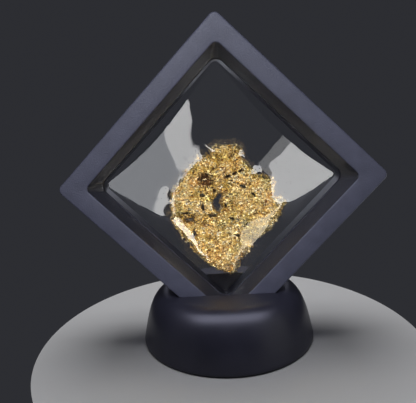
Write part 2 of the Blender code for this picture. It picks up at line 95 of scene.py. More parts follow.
# What only the looks have.
SEAM = 0.04 * MM                    # each half's distance from the middle plane
SEAM_CHAMFER = 0.22 * MM
MOUTH_FLARE = 0.35 * MM             # rounding of the slot's mouth
FILM_SHEET = 0.12 * MM              # thickness of the film that shows
FILM_CELLS = 132
FILM_CLEARANCE = 0.30               # in millimetres, over the nugget's envelope
FILM_CONTACT = 0.5                  # and how far inside the nugget's rim it touches
FILM_SWEEPS = ((500, 1.93), (60, 1.0))      # rounds of pulling tight, and how far each goes
FILM_WAVE = (0.02, 7.0)             # height and length of its slight waves, in millimetres
FLOOR_R = 0.060
CARD_EDGE = 0.8 * MM                # how soft the cards' edges are
CARD_GAP = 0.05 * MM                # between cards of one plane

# Nugget, in millimetres, seen from the front with the middle of the case at zero.
NUGGET_OUTLINE = (
    (-3.3, 9.9), (-1.5, 11.2), (1.7, 11.5), (2.8, 10.8), (4.4, 11.7), (6.8, 10.0),
    (7.4, 8.3), (6.4, 7.3), (8.3, 5.8), (8.8, 4.4), (10.8, 3.6), (10.9, 2.3),
    (10.0, 0.9), (12.0, 1.3), (15.1, 0.6), (16.8, -0.1), (17.2, -2.2), (17.0, -5.4),
    (20.0, -6.9), (20.0, -9.0), (18.5, -12.2), (15.5, -16.3), (12.6, -18.3),
    (10.1, -19.4), (8.9, -19.6), (9.9, -21.1), (8.6, -22.4), (6.0, -25.2), (4.5, -27.7),
    (3.7, -29.9), (2.4, -30.7), (-0.2, -29.7), (-3.7, -28.4), (-5.8, -27.0),
    (-7.2, -25.0), (-9.9, -22.6), (-10.8, -20.4), (-13.5, -17.4), (-15.8, -14.0),
    (-16.8, -10.1), (-16.6, -6.9), (-16.4, -3.0), (-15.5, -1.3), (-12.8, 0.7),
    (-11.6, 3.4), (-8.6, 6.4), (-6.5, 8.0), (-4.3, 8.7), (-3.0, 7.8),
)
NUGGET_HOLES = (
    ((-1.3, -3.7), (0.1, -4.0), (0.0, -5.6), (-0.7, -6.3), (-0.9, -6.9), (-0.3, -7.8),
     (-0.4, -9.1), (-1.4, -10.1), (-2.4, -9.5), (-2.5, -8.7), (-2.9, -8.2), (-3.5, -7.5),
     (-3.2, -6.3), (-2.8, -5.5), (-2.0, -5.1), (-1.6, -4.7)),
    ((-4.6, -10.4), (-1.9, -10.5), (-1.8, -11.5), (-4.5, -11.4)),
    ((-12.8, -11.7), (-9.4, -11.5), (-9.2, -12.5), (-12.6, -12.7)),
    ((-9.5, -15.5), (-8.8, -16.2), (-9.5, -18.3), (-10.6, -18.1)),
)
# Small openings and dark hollows: centre, half sizes, turn in degrees, depth.
HOLLOWS = (
    ((-6.3, -4.2), (0.75, 0.4), -15, 3.0),
    ((-6.3, -7.9), (0.35, 0.95), 5, 3.0),
    ((-2.4, -2.9), (0.55, 0.55), -40, 2.2),
    ((6.7, -2.0), (0.75, 0.4), -25, 3.0),
    ((4.6, -17.5), (0.55, 0.4), 20, 2.6),
    ((2.2, 1.4), (0.8, 0.35), 25, 2.0),
    ((4.2, 2.2), (0.7, 0.3), 25, 2.0),
    ((6.2, 3.0), (0.7, 0.3), 30, 1.8),
    ((9.4, -19.6), (0.6, 0.45), -30, 2.2),
    ((-11.6, -9.6), (1.2, 0.35), 5, 1.6),
    ((9.8, -4.6), (0.9, 0.3), -50, 1.6),
    ((2.7, -12.0), (0.8, 0.3), -20, 1.4),
    ((7.6, -14.2), (0.4, 0.5), 0, 1.6),
    ((0.9, -7.8), (0.3, 0.6), 10, 1.6),
)
PIT_CENTRE = (-5.1, 0.5)
PIT_R = 2.4
PIT_DEPTH = 3.2
# A bright flake across the pit: centre, half sizes, turn in degrees, level.
PIT_FLAKE = ((-5.6, 0.7), (0.85, 0.35), 8, 1.3)
LEDGES = (
    ((-14.5, -9.6), (0.5, -11.2), 0.7),
    ((1.2, 0.8), (10.2, 4.6), -0.8),
    ((2.5, -18.2), (9.5, -18.6), 0.8),
    ((-1.0, -11.5), (9.0, -17.0), -0.6),
    ((-9.5, 1.6), (-3.2, 8.4), 0.5),
)
LEDGE_SOFTNESS = 0.8
LEDGE_FADE = 2.0
LEDGE_WIDTH = 4.0
NUGGET_RIM_HALF = 1.3
NUGGET_MIDDLE_HALF = 3.6
# The shoulders, by the direction from the middle in degrees anticlockwise from the right:
# how far in from the rim the full thickness starts, and how round they are (1 is straight).
NUGGET_MIDDLE = (0.0, -9.0)
SHOULDERS = (
    (-180, 1.6, 3.0), (-168, 3.2, 1.5), (-145, 3.4, 1.5), (-125, 1.8, 2.0), (-85, 2.0, 2.5),
    (-66, 3.0, 1.6), (-55, 6.5, 1.25), (-20, 6.5, 1.25), (0, 2.0, 2.0), (40, 1.5, 3.0),
    (90, 1.8, 3.0), (140, 1.5, 3.0), (180, 1.6, 3.0),
)
HOLE_RIM_SHARE = 0.7
HOLE_SHOULDER = 1.5
LUMP_SPACING = 5.0
LUMP_HEIGHT = 0.75
LUMP_SINK = 0.25
KNOB_SPACING = 2.1
KNOB_HEIGHT = 0.8
KNOB_SINK = 0.1
EDGE_WIDTH = 1.1                    # of the rounding at the rim
EDGE_SHARE = 0.45                   # thickness left at the very edge

# The nugget's fine crystals.
CELL = 0.165
GRID_CORNER = (-18.5, -32.0)
GRID_SPAN = (40.0, 45.0)
PLATE_SPACING = 0.38
PLATE_LENGTHS = (0.35, 1.4)         # half lengths
PLATE_WIDTHS = (0.12, 0.34)         # half widths
PLATE_LEVELS = (-0.42, 0.62)        # lowest, and how much higher the highest lies
PLATE_TILT = 0.9
PLATE_CREST = 0.9
ROOF_SHARE = 0.55                   # of the plates that have a crest
BLOCK_FROM = 0.8                    # and the draw above which one is blunt
SWIRL = 2.4 * pi                    # how far the plates' direction wanders
SWIRL_LENGTH = 6.0
TURN_SPREAD = 0.55
PLATE_HEADROOM = 0.06               # least gap to what the film rests on
BED_DEPTH = 0.75
BED_ROUGHNESS = 0.12
LEAST_HALF = 0.22
MEAN_STEPS = 14                     # of blur, for how sunk a place is
RIM_ROWS = 6
RIM_BULGE = 0.16
RIM_RIPPLE = 0.3

# Camera, from the photograph's perspective.
CAMERA_PLACE = (-0.00279, -0.11568, 0.0572)
CAMERA_YAW = -0.85
CAMERA_PITCH = 5.64
CAMERA_ROLL = -2.94
CAMERA_LENS = 30.92
CAMERA_SHIFT_Y = -0.0162


# --- Materials ---


def new_material(name):
    material = bpy.data.materials.new(name)
    material.use_nodes = True
    return material, material.node_tree, material.node_tree.nodes["Principled BSDF"]


def add_node(tree, kind, values=None):
    """A node whose inputs take plain values, or the outputs that they are linked to."""
    node = tree.nodes.new("ShaderNode" + kind)
    for name, value in (values or {}).items():
        if isinstance(value, bpy.types.NodeSocket):
            tree.links.new(value, node.inputs[name])
        else:
            node.inputs[name].default_value = value
    return node


def noise_node(tree, scale, detail=2.0, roughness=0.5, place=None):
    """Fractal noise over the object's own coordinates, in metres."""
    place = place or add_node(tree, "TexCoord").outputs["Object"]
    values = {"Vector": place, "Scale": scale, "Detail": detail, "Roughness": roughness}
    return add_node(tree, "TexNoise", values).outputs["Fac"]


def ramp_node(tree, factor, stops):
    """A colour ramp: stops are (place, colour)."""
    ramp = add_node(tree, "ValToRGB", {"Fac": factor})
    elements = ramp.color_ramp.elements
    while len(elements) < len(stops):
        elements.new(0.5)
    for element, (place, colour) in zip(elements, stops):
        element.position = place
        element.color = (*colour, 1.0)
    return ramp.outputs["Color"]


def range_node(tree, value, low, high, to_low=0.0, to_high=1.0):
    values = {"Value": value, "From Min": low, "From Max": high}
    values |= {"To Min": to_low, "To Max": to_high}
    return add_node(tree, "MapRange", values).outputs["Result"]


def mix_colours(tree, factor, first, second):
    mix = add_node(tree, "Mix", {"Factor": factor})
    mix.data_type = "RGBA"
    for socket, colour in ((mix.inputs[6], first), (mix.inputs[7], second)):
        if isinstance(colour, tuple):
            socket.default_value = (*colour, 1.0)
        else:
            tree.links.new(colour, socket)
    return mix.outputs[2]


def combine_values(tree, operation, *values):
    maths = add_node(tree, "Math")
    maths.operation = operation
    for socket, value in zip(maths.inputs, values):
        if isinstance(value, float):
            socket.default_value = value
        else:
            tree.links.new(value, socket)
    return maths.outputs["Value"]


def bump_node(tree, height, distance, strength=1.0):
    values = {"Strength": strength, "Distance": distance, "Height": height}
    return add_node(tree, "Bump", values).outputs["Normal"]


def attribute_node(tree, name):
    attribute = add_node(tree, "Attribute")
    attribute.attribute_name = name
    return attribute.outputs["Fac"]


def case_material():
    """Black plastic from a spark-eroded mould: finely grained, but polished in the window, whose
    walls are also painted darker as shade.
    """
    material, tree, shader = new_material("case_black")
    mottle = noise_node(tree, 260.0, 3.0)
    grain = noise_node(tree, 2400.0, 2.0, 0.6)
    polish_and_painted_shade = attribute_node(tree, "polish_and_painted_shade")
    dark, light = (0.036, 0.037, 0.055), (0.045, 0.046, 0.068)
    colour = ramp_node(tree, mottle, ((0.3, dark), (0.7, light)))
    # Painted shade: the window's walls are mixed towards a near-black colour, as if lying in the
    # recess's shadow.
    colour = mix_colours(tree, polish_and_painted_shade, colour, (0.014, 0.014, 0.020))
    tree.links.new(colour, shader.inputs["Base Color"])
    rough = range_node(tree, grain, 0.3, 0.7, 0.50, 0.64)
    polish = range_node(tree, polish_and_painted_shade, 0.0, 1.0, 1.0, 0.6)
    rough = combine_values(tree, "MULTIPLY", rough, polish)
    tree.links.new(rough, shader.inputs["Roughness"])
    shader.inputs["Specular IOR Level"].default_value = 0.4
    tree.links.new(bump_node(tree, grain, 0.00009, 1.0), shader.inputs["Normal"])
    return material


def stand_material():
    """Smooth satin black plastic with faint handling marks."""
    material, tree, shader = new_material("stand_black")
    cloud = noise_node(tree, 90.0, 4.0)
    fine = noise_node(tree, 2600.0, 2.0)
    dark, light = (0.007, 0.007, 0.010), (0.010, 0.010, 0.014)
    colour = ramp_node(tree, cloud, ((0.3, dark), (0.7, light)))
    tree.links.new(colour, shader.inputs["Base Color"])
    tree.links.new(range_node(tree, cloud, 0.3, 0.7, 0.32, 0.40), shader.inputs["Roughness"])
    shader.inputs["Specular IOR Level"].default_value = 0.35
    tree.links.new(bump_node(tree, fine, 0.00002, 0.35), shader.inputs["Normal"])
    return material


def streaks(tree, turn, scale, squeeze):
    """Noise drawn out along one direction of the nugget's face."""
    place = add_node(tree, "TexCoord").outputs["Object"]
    values = {"Vector": place, "Rotation": (0, radians(turn), 0), "Scale": (1.0, 0.6, squeeze)}
    mapping = add_node(tree, "Mapping", values)
    return noise_node(tree, scale, place=mapping.outputs["Vector"])


def gold_material():
    """Native gold: bright flakes of slightly different gold, with crevices painted dark
    red-brown, partly as oxide stain and partly as painted shade.
    """
    material, tree, shader = new_material("native_gold")
    tint = attribute_node(tree, "tint")
    cavity = attribute_node(tree, "cavity")
    patches = noise_node(tree, 230.0, 3.0)
    fine = noise_node(tree, 2400.0, 3.0, 0.65)
    ridges = combine_values(
        tree, "MAXIMUM", streaks(tree, 38.0, 620.0, 4.0), streaks(tree, -52.0, 620.0, 4.0)
    )
    lit = range_node(tree, ridges, 0.45, 0.75, -0.1, 0.35)
    gold = ramp_node(
        tree,
        combine_values(tree, "MULTIPLY_ADD", tint, 0.75, lit),
        (
            (0.0, (0.62, 0.40, 0.14)),
            (0.3, (0.85, 0.665, 0.31)),
            (0.7, (0.97, 0.855, 0.56)),
            (1.0, (1.00, 0.95, 0.82)),
        ),
    )
    olive = range_node(tree, patches, 0.50, 0.36, 0.0, 0.7)
    gold = mix_colours(tree, olive, gold, (0.56, 0.44, 0.14))
    rust = range_node(tree, patches, 0.54, 0.72, 0.0, 0.35)
    gold = mix_colours(tree, rust, gold, (0.52, 0.22, 0.065))
    # Painted shade, with some oxide stain: the more sunk a place is, the more it is mixed towards
    # a dark red-brown.
    depth = range_node(tree, cavity, 0.12, 0.62)
    stain_and_painted_shade = combine_values(tree, "MULTIPLY", depth, range_node(tree, fine, 0.25, 0.55, 0.6, 1.0))
    colour = mix_colours(tree, stain_and_painted_shade, gold, (0.13, 0.045, 0.010))
    tree.links.new(colour, shader.inputs["Base Color"])
    shader.inputs["Metallic"].default_value = 1.0
    clean = range_node(tree, tint, 0.0, 1.0, 0.34, 0.18)
    rough = combine_values(tree, "ADD", clean, range_node(tree, stain_and_painted_shade, 0.0, 1.0, 0.0, 0.4))
    tree.links.new(rough, shader.inputs["Roughness"])
    height = combine_values(tree, "MULTIPLY_ADD", ridges, 2.0, fine)
    tree.links.new(bump_node(tree, height, 0.00008, 0.6), shader.inputs["Normal"])
    return material


def film_material():
    """Clear glossy elastic film."""
    material, tree, shader = new_material("clear_film")
    shader.inputs["Transmission Weight"].default_value = 1.0
    shader.inputs["IOR"].default_value = 1.42
    shader.inputs["Roughness"].default_value = 0.0
    cast = noise_node(tree, 60.0, 2.0)
    colour = ramp_node(tree, cast, ((0.3, (0.975, 0.98, 0.99)), (0.7, (0.99, 0.995, 1.0))))
    tree.links.new(colour, shader.inputs["Base Color"])
    return material


def floor_material():
    material, tree, shader = new_material("studio_floor")
    soft = noise_node(tree, 6.0, 2.0)
    colour = ramp_node(tree, soft, ((0.3, (0.66, 0.66, 0.67)), (0.7, (0.68, 0.68, 0.69))))
    tree.links.new(colour, shader.inputs["Base Color"])
    shader.inputs["Roughness"].default_value = 0.75
    return material


# --- Mesh helpers ---


def bm_to_mesh(bm, name):
    bmesh.ops.recalc_face_normals(bm, faces=bm.faces)
    mesh = bpy.data.meshes.new(name)
    bm.to_mesh(mesh)
    bm.free()
    return mesh


def add_object(name, mesh, local=None):
    obj = bpy.data.objects.new(name, mesh)
    bpy.context.scene.collection.objects.link(obj)
    obj.matrix_world = local or Matrix.Identity(4)
    return obj


def applied(obj):
    """The object's mesh in world space with its modifiers applied. Removes the object."""
    bpy.context.view_layer.update()
    graph = bpy.context.evaluated_depsgraph_get()
    mesh = bpy.data.meshes.new_from_object(obj.evaluated_get(graph))
    mesh.transform(obj.matrix_world)
    bpy.data.objects.remove(obj)
    return mesh


def cut(target, mesh, operation="DIFFERENCE", local=None):
    """Boolean with another mesh, applied at once. Returns the new target object."""
    other = add_object("cutter", mesh, local)
    boolean = target.modifiers.new("cut", "BOOLEAN")
    boolean.operation = operation
    boolean.solver = "EXACT"
    boolean.object = other
    name = target.name
    result = applied(target)
    bpy.data.objects.remove(other)
    return add_object(name, result)


def rounded_rectangle(half_x, half_y, radius, z, steps=8):
    points = []
    for corner in range(4):
        turn = corner * pi / 2
        sign_x = 1 if corner in (0, 3) else -1
        sign_y = 1 if corner in (0, 1) else -1
        for step in range(steps + 1):
            angle = turn + step / steps * pi / 2
            x = sign_x * (half_x - radius) + radius * cos(angle)
            y = sign_y * (half_y - radius) + radius * sin(angle)
            points.append(Vector((x, y, z)))
    return points


def loft(name, sections, closed=False):
    """Faces through loops of equally many points, closed into a ring or capped."""
    bm = bmesh.new()
    loops = [[bm.verts.new(point) for point in section] for section in sections]
    pairs = list(zip(loops, loops[1:]))
    if closed:
        pairs.append((loops[-1], loops[0]))
    for lower, upper in pairs:
        for i, vertex in enumerate(lower):
            j = (i + 1) % len(lower)
            bm.faces.new((vertex, lower[j], upper[j], upper[i]))
    if not closed:
        bm.faces.new(loops[0])
        bm.faces.new(loops[-1])
    return bm_to_mesh(bm, name)


def box_mesh(name, size, centre):
    bm = bmesh.new()
    bmesh.ops.create_cube(bm, size=1.0)
    bmesh.ops.scale(bm, vec=size, verts=bm.verts)
    bmesh.ops.translate(bm, vec=centre, verts=bm.verts)
    return bm_to_mesh(bm, name)


def finish_piece(obj, name, material, angle):
    """Names, shades and attaches a piece, and hides the imported node that it is named after,
    which it replaces.
    """
    obj.name = name
    obj.data.name = name
    obj.data.materials.clear()
    obj.data.materials.append(material)
    obj.data.shade_smooth()
    obj.data.set_sharp_from_angle(angle=radians(angle))
    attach(obj, "root")
    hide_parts(name.replace("_look", ""))
    return obj


# --- Case ---


def quarter(steps):
    return [step / steps * pi / 2 for step in range(steps + 1)]


def half_frame_mesh():
    """A ring of rounded squares: up the outside, over the bezel, and down the window."""
    sections = []

    def add(half, radius, z):
        sections.append(rounded_rectangle(half, half, radius, z))

    add(HALF_SIDE - SEAM_CHAMFER, CASE_CORNER_R - SEAM_CHAMFER, SEAM)
    add(HALF_SIDE, CASE_CORNER_R, SEAM + SEAM_CHAMFER)
    for angle in quarter(5):
        inset = CASE_EDGE_R * (1 - cos(angle))
        z = HALF_DEPTH - CASE_EDGE_R * (1 - sin(angle))
        add(HALF_SIDE - inset, CASE_CORNER_R - inset, z)
    for angle in quarter(4):
        out = WINDOW_EDGE_R * (1 - sin(angle))
        z = HALF_DEPTH - WINDOW_EDGE_R * (1 - cos(angle))
        add(WINDOW_HALF + out, WINDOW_CORNER_R + out, z)
    add(FILM_WINDOW_HALF + 0.1 * MM, FILM_CORNER_R, REBATE_FLOOR + 0.15 * MM)
    add(FILM_WINDOW_HALF, FILM_CORNER_R, REBATE_FLOOR)
    add(REBATE_HALF, FILM_CORNER_R, REBATE_FLOOR)
    add(REBATE_HALF, FILM_CORNER_R, SEAM)
    return loft("half_frame", sections, closed=True)


def knuckle_mesh(length, towards):
    """A hinge knuckle along X: a half-round barrel with a straight root."""
    root = towards * (HINGE_POCKET_HALF + 0.5 * MM)
    outline = [(HINGE_AXIS - HINGE_BARREL_R, root), (HINGE_AXIS + HINGE_BARREL_R, root)]
    for step in range(25):
        angle = step / 24 * pi
        y = HINGE_AXIS + HINGE_BARREL_R * cos(angle)
        outline.append((y, -towards * HINGE_BARREL_R * sin(angle)))
    ends = [[Vector((x, y, z)) for y, z in outline] for x in (-length / 2, length / 2)]
    return loft("knuckle", ends)


def groove_mesh():
    """The rod that the nail groove is cut with."""
    bm = bmesh.new()
    bmesh.ops.create_cone(
        bm, cap_ends=True, segments=48, radius1=GROOVE_R, radius2=GROOVE_R, depth=GROOVE_LENGTH
    )
    bmesh.ops.rotate(bm, verts=bm.verts, matrix=Matrix.Rotation(pi / 2, 3, "Y"))
    mesh = bm_to_mesh(bm, "groove")
    mesh.transform(Matrix.Translation((0, -HALF_SIDE - GROOVE_R + GROOVE_BITE, 0)))
    return mesh


def build_half_frame(name, case_matrix, towards, material):
    half = add_object(name, half_frame_mesh(), Matrix.Rotation(0 if towards > 0 else pi, 4, "X"))
    half = cut(half, groove_mesh())
    for place in HINGE_PLACES:
        depth = HALF_SIDE - HINGE_AXIS + HINGE_BARREL_R + 0.4 * MM
        size = (HINGE_LENGTH, depth + MM, 2 * HINGE_POCKET_HALF)
        centre = (place, HALF_SIDE - depth + size[1] / 2, 0)
        half = cut(half, box_mesh("pocket", size, centre))
    if towards > 0:
        knuckles = [(place, FRONT_KNUCKLE) for place in HINGE_PLACES]
    else:
        reach = FRONT_KNUCKLE / 2 + KNUCKLE_GAP + BACK_KNUCKLE / 2
        knuckles = [(p + side * reach, BACK_KNUCKLE) for p in HINGE_PLACES for side in (-1, 1)]
    for place, length in knuckles:
        mesh = knuckle_mesh(length, towards)
        half = cut(half, mesh, "UNION", Matrix.Translation((place, 0, 0)))
    # The window's walls, below the bezel, are smoother than the rest, and their colour is painted
    # darker as shade.
    places = np.abs([vertex.co[:] for vertex in half.data.vertices])
    inner = places[:, :2].max(axis=1) < WINDOW_HALF + 0.1 * MM
    inner &= places[:, 2] < HALF_DEPTH - 0.12 * MM
    polish_and_painted_shade = half.data.attributes.new("polish_and_painted_shade", "FLOAT", "POINT")
    polish_and_painted_shade.data.foreach_set("value", inner.astype(np.float32))
    half.data.transform(case_matrix)
    return finish_piece(half, name, material, 32.0)


# --- Stand ---


def bezier(points, steps):
    start, pull, push, end = (np.array(point) for point in points)
    share = np.linspace(0, 1, steps + 1)[:, None]
    rest = 1 - share
    curve = rest**3 * start + 3 * rest**2 * share * pull
    return curve + 3 * rest * share**2 * push + share**3 * end


def build_stand(material):
    top = np.array((TOP_R, STAND_HEIGHT - STAND_CROWN))
    foot = np.array((STAND_R, STAND_FOOT_CHAMFER))
    handles = (top, top + (SHOULDER_PULL, 0), foot + (-SIDE_PULL[0], SIDE_PULL[1]), foot)
    outside = bezier(handles, 32)
    inside = outside[::-4] - (STAND_WALL, 0)
    inside[-1] = top - (STAND_WALL / 2, STAND_WALL)
    inside[:-1, 1] *= 1 - STAND_WALL / STAND_HEIGHT
    foot_r = STAND_R - STAND_FOOT_CHAMFER
    profile = [(0.0, STAND_HEIGHT)]
    for share in (0.25, 0.5, 0.75, 0.92):
        profile.append((TOP_R * share, STAND_HEIGHT - STAND_CROWN * share**2))
    profile += [tuple(point) for point in outside]
    for angle in quarter(3)[1:]:
        chamfer = STAND_FOOT_CHAMFER
        profile.append((foot_r + chamfer * cos(angle), chamfer * (1 - sin(angle))))
    profile += [(foot_r - STAND_WALL, 0.0)]
    profile += [tuple(point) for point in inside[1:]]
    profile += [(0.0, top[1] - STAND_WALL)]

    bm = bmesh.new()
    ring = [bm.verts.new((r, 0.0, z)) for r, z in profile]
    for a, b in zip(ring, ring[1:]):
        bm.edges.new((a, b))
    stand = add_object("stand_look", bm_to_mesh(bm, "stand"))
    turn = stand.modifiers.new("turn", "SCREW")
    turn.steps = turn.render_steps = 160
    turn.use_merge_vertices = True
    turn.merge_threshold = 0.01 * MM
    stand = add_object("stand_look", applied(stand))

    half_x, half_y = SLOT_LENGTH / 2 + SLOT_WALL, SLOT_WIDTH / 2 + SLOT_WALL
    pocket_top = STAND_HEIGHT - STAND_CROWN - STAND_WALL / 2
    sections = [rounded_rectangle(half_x, half_y, 1.4 * MM, z) for z in (0.0, pocket_top)]
    stand = cut(stand, loft("pocket", sections), "UNION")

    sections = []

    def add(out, z):
        sections.append(
            rounded_rectangle(SLOT_LENGTH / 2 + out, SLOT_WIDTH / 2 + out, SLOT_CORNER_R + out, z)
        )

    add(0.0, SLOT_FLOOR)
    for angle in quarter(4):
        add(MOUTH_FLARE * (1 - cos(angle)), STAND_HEIGHT - MOUTH_FLARE * (1 - sin(angle)))
    add(MOUTH_FLARE, STAND_HEIGHT + MM)
    stand = cut(stand, loft("slot", sections))
    return finish_piece(stand, "stand_look", material, 32.0)


# --- Nugget ---


def inside(points, loop):
    x, y = points[..., 0], points[..., 1]
    found = np.zeros(x.shape, bool)
    for (x0, y0), (x1, y1) in zip(loop, loop[1:] + loop[:1]):
        if y0 != y1:
            found ^= ((y0 > y) != (y1 > y)) & (x < x0 + (y - y0) / (y1 - y0) * (x1 - x0))
    return found


def signed_distance(points, loop):
    """Distance to an outline, positive inside it."""
    start = np.array(loop)
    best = np.full(len(points), np.inf)
    for place, edge in zip(start, np.roll(start, -1, axis=0) - start):
        away = points - place
        share = np.clip((away @ edge) / (edge @ edge), 0, 1)
        best = np.minimum(best, np.linalg.norm(away - share[:, None] * edge, axis=1))
    return np.where(inside(points, loop), best, -best)


def noise_field(points, length, seed):
    return np.array([noise.noise(Vector((x / length, y / length, seed))) for x, y in points])


def four_around(padded):
    """The sum of each inner grid point's four neighbours."""
    return padded[:-2, 1:-1] + padded[2:, 1:-1] + padded[1:-1, :-2] + padded[1:-1, 2:]


def blurred(field, steps):
    """Repeated small smoothing of a grid."""
    for _ in range(steps):
        padded = np.pad(field, 1, mode="edge")
        field = (
            4 * padded[1:-1, 1:-1]
            + 2 * four_around(padded)
            + padded[:-2, :-2] + padded[2:, 2:] + padded[:-2, 2:] + padded[2:, :-2]
        ) / 16
    return field


class NuggetGrid:
    """The grid that the nugget is modelled on, with the distances that its relief needs."""

    def __init__(self):
        self.columns, self.rows = (round(span / CELL) + 1 for span in GRID_SPAN)
        across = GRID_CORNER[0] + np.arange(self.columns) * CELL
        up = GRID_CORNER[1] + np.arange(self.rows) * CELL
        self.points = np.stack(np.meshgrid(across, up, indexing="ij"), axis=-1)
        flat = self.points.reshape(-1, 2)
        self.rim = signed_distance(flat, NUGGET_OUTLINE)
        self.hole = np.full(len(flat), np.inf)
        for loop in NUGGET_HOLES:
            self.hole = np.minimum(self.hole, -signed_distance(flat, loop))

    def shaped(self, values):
        return values.reshape(self.columns, self.rows)


def hollows(points):
    """Depth of the small hollows at each point."""
    depth = np.zeros(len(points))
    for centre, halves, turn, deep in HOLLOWS:
        away = points - np.array(centre)
        along = np.array((cos(radians(turn)), sin(radians(turn))))
        u = away @ along / halves[0]
        v = away @ np.array((-along[1], along[0])) / halves[1]
        reach = np.sqrt(u**2 + v**2) + 0.25 * noise_field(points, 0.5, 4.0)
        depth = np.maximum(depth, deep * np.clip((1.25 - reach) / 0.35, 0, 1))
    return depth


def pit_share(points, size):
    """One in the pit, and nothing outside its rim."""
    away = np.linalg.norm(points - np.array(PIT_CENTRE), axis=1)
    away = away * (1 + 0.18 * noise_field(points, 1.2, 2.0))
    return np.exp(-((away / (PIT_R * size)) ** 6))


def envelope(grid):
    """Half thickness that the films rest on: nearly flat, with rounded shoulders."""
    rim = np.clip(grid.rim, 0, None)
    x, y = (grid.points.reshape(-1, 2) - np.array(NUGGET_MIDDLE)).T
    directions, widths, powers = zip(*SHOULDERS)
    direction = np.degrees(np.arctan2(y, x))
    share = np.clip(rim / np.interp(direction, directions, widths), 0, 1)
    share = 1 - (1 - share) ** np.interp(direction, directions, powers)
    return NUGGET_RIM_HALF + (NUGGET_MIDDLE_HALF - NUGGET_RIM_HALF) * share


def painted_highlight_side(grid):
    """One at the nugget's lower right rim, painted paler as a highlight from the light on that
    side, and nothing far from it.
    """
    x, y = (grid.points - np.array(NUGGET_MIDDLE)).transpose(2, 0, 1)
    turn = np.degrees(np.arctan2(y, x)) + 38
    return np.exp(-((turn / 24) ** 2)) * np.clip(1.3 - np.abs(grid.shaped(grid.rim)) / 3.5, 0, 1)


def base_height(grid, top, seed, towards):
    flat = grid.points.reshape(-1, 2)
    away = np.clip(np.clip(grid.hole, 0, None) / HOLE_SHOULDER, 0, 1)
    height = top * (HOLE_RIM_SHARE + (1 - HOLE_RIM_SHARE) * away)
    height = height + 2 * LUMP_HEIGHT * noise_field(flat, LUMP_SPACING, seed) - LUMP_SINK
    height = height + KNOB_HEIGHT * noise_field(flat, KNOB_SPACING, seed + 7.0) - KNOB_SINK
    if towards > 0:
        for start, end, fall in LEDGES:
            start, end = np.array(start), np.array(end)
            length = np.linalg.norm(end - start)
            along = (end - start) / length
            side = (flat - start) @ np.array((along[1], -along[0]))
            reach = (flat - start) @ along
            fade = np.clip(np.minimum(reach, length - reach) / LEDGE_FADE + 1, 0, 1)
            step = -np.tanh(side / LEDGE_SOFTNESS) * np.exp(-np.abs(side) / LEDGE_WIDTH)
            height = height + fall * fade * step
        height = height - PIT_DEPTH * pit_share(flat, 1.0)
    height = np.minimum(height, top)
    edge = np.clip(np.minimum(grid.rim, grid.hole * 1.5) / EDGE_WIDTH, 0, 1)
    height = height * (EDGE_SHARE + (1 - EDGE_SHARE) * np.sqrt(1 - (1 - edge) ** 2))
    return grid.shaped(height)


def lay_plate(grid, field, tints, plate):
    """Lays one flat or roof-shaped flake over the grid, where it is the highest so far."""
    (x, y), (half_u, half_v), turn, level, tilt, crest, tint, block = plate
    reach = max(half_u, half_v)
    low = np.floor((np.array((x, y)) - reach - GRID_CORNER) / CELL).astype(int)
    high = np.ceil((np.array((x, y)) + reach - GRID_CORNER) / CELL).astype(int) + 1
    low = np.maximum(low, 0)
    patch = (slice(low[0], high[0]), slice(low[1], high[1]))
    away = grid.points[patch] - (x, y)
    u = away[..., 0] * cos(turn) + away[..., 1] * sin(turn)
    v = away[..., 1] * cos(turn) - away[..., 0] * sin(turn)
    width = half_v * (1 - (0.15 if block else 0.6) * (u / half_u) ** 2)
    covered = (np.abs(u) <= half_u) & (np.abs(v) <= width)
    surface = level + tilt[0] * u + tilt[1] * v - crest * np.abs(v)
    wins = covered & (surface > field[patch])
    field[patch] = np.where(wins, surface, field[patch])
    tints[patch] = np.where(wins, tint, tints[patch])


